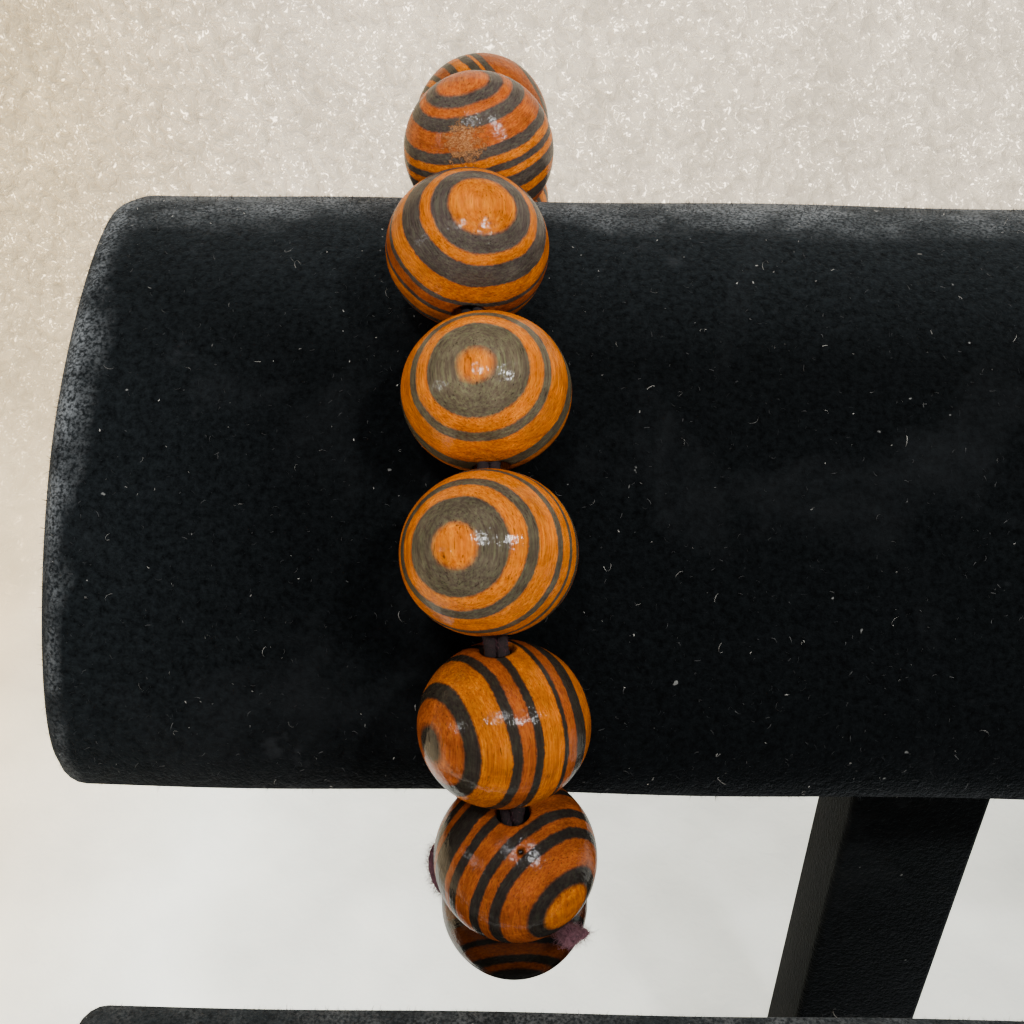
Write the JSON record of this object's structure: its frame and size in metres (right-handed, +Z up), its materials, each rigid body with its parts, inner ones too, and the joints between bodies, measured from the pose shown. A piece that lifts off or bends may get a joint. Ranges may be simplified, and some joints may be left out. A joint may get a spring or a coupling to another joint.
{
  "type": "beaded stretch bracelet on a two-tier velvet bar display stand",
  "caption": "Stretch bracelet of round layered-wood beads on elastic cord, hanging over the upper bar of a black velvet two-tier bar stand.",
  "frame": {"origin": "middle of the base's underside, on the surface that the stand rests on", "axes": "+X along the bars to the right, +Y away from the viewer, +Z up"},
  "size_m": [0.206, 0.1519, 0.1797],
  "materials": {
    "layered_wood": "dyed wood layers in orange, brick red and dark brown under satin lacquer",
    "elastic": "dark plum fabric-covered elastic",
    "velvet": "black velvet with worn grey patches"
  },
  "bodies": {
    "root": {"bead_01": "layered_wood", "bead_02": "layered_wood", "bead_03": "layered_wood", "bead_04": "layered_wood", "bead_05": "layered_wood", "bead_06": "layered_wood", "bead_07": "layered_wood", "bead_08": "layered_wood", "bead_09": "layered_wood", "bead_10": "layered_wood", "bead_11": "layered_wood", "bead_12": "layered_wood", "bead_13": "layered_wood", "bead_14": "layered_wood", "bead_15": "layered_wood", "bead_16": "layered_wood", "elastic_cord": "elastic", "knot": "elastic", "upper_bar": "velvet", "lower_bar": "velvet", "upper_post": "velvet", "lower_post": "velvet", "base": "velvet"}
  },
  "joints": []
}
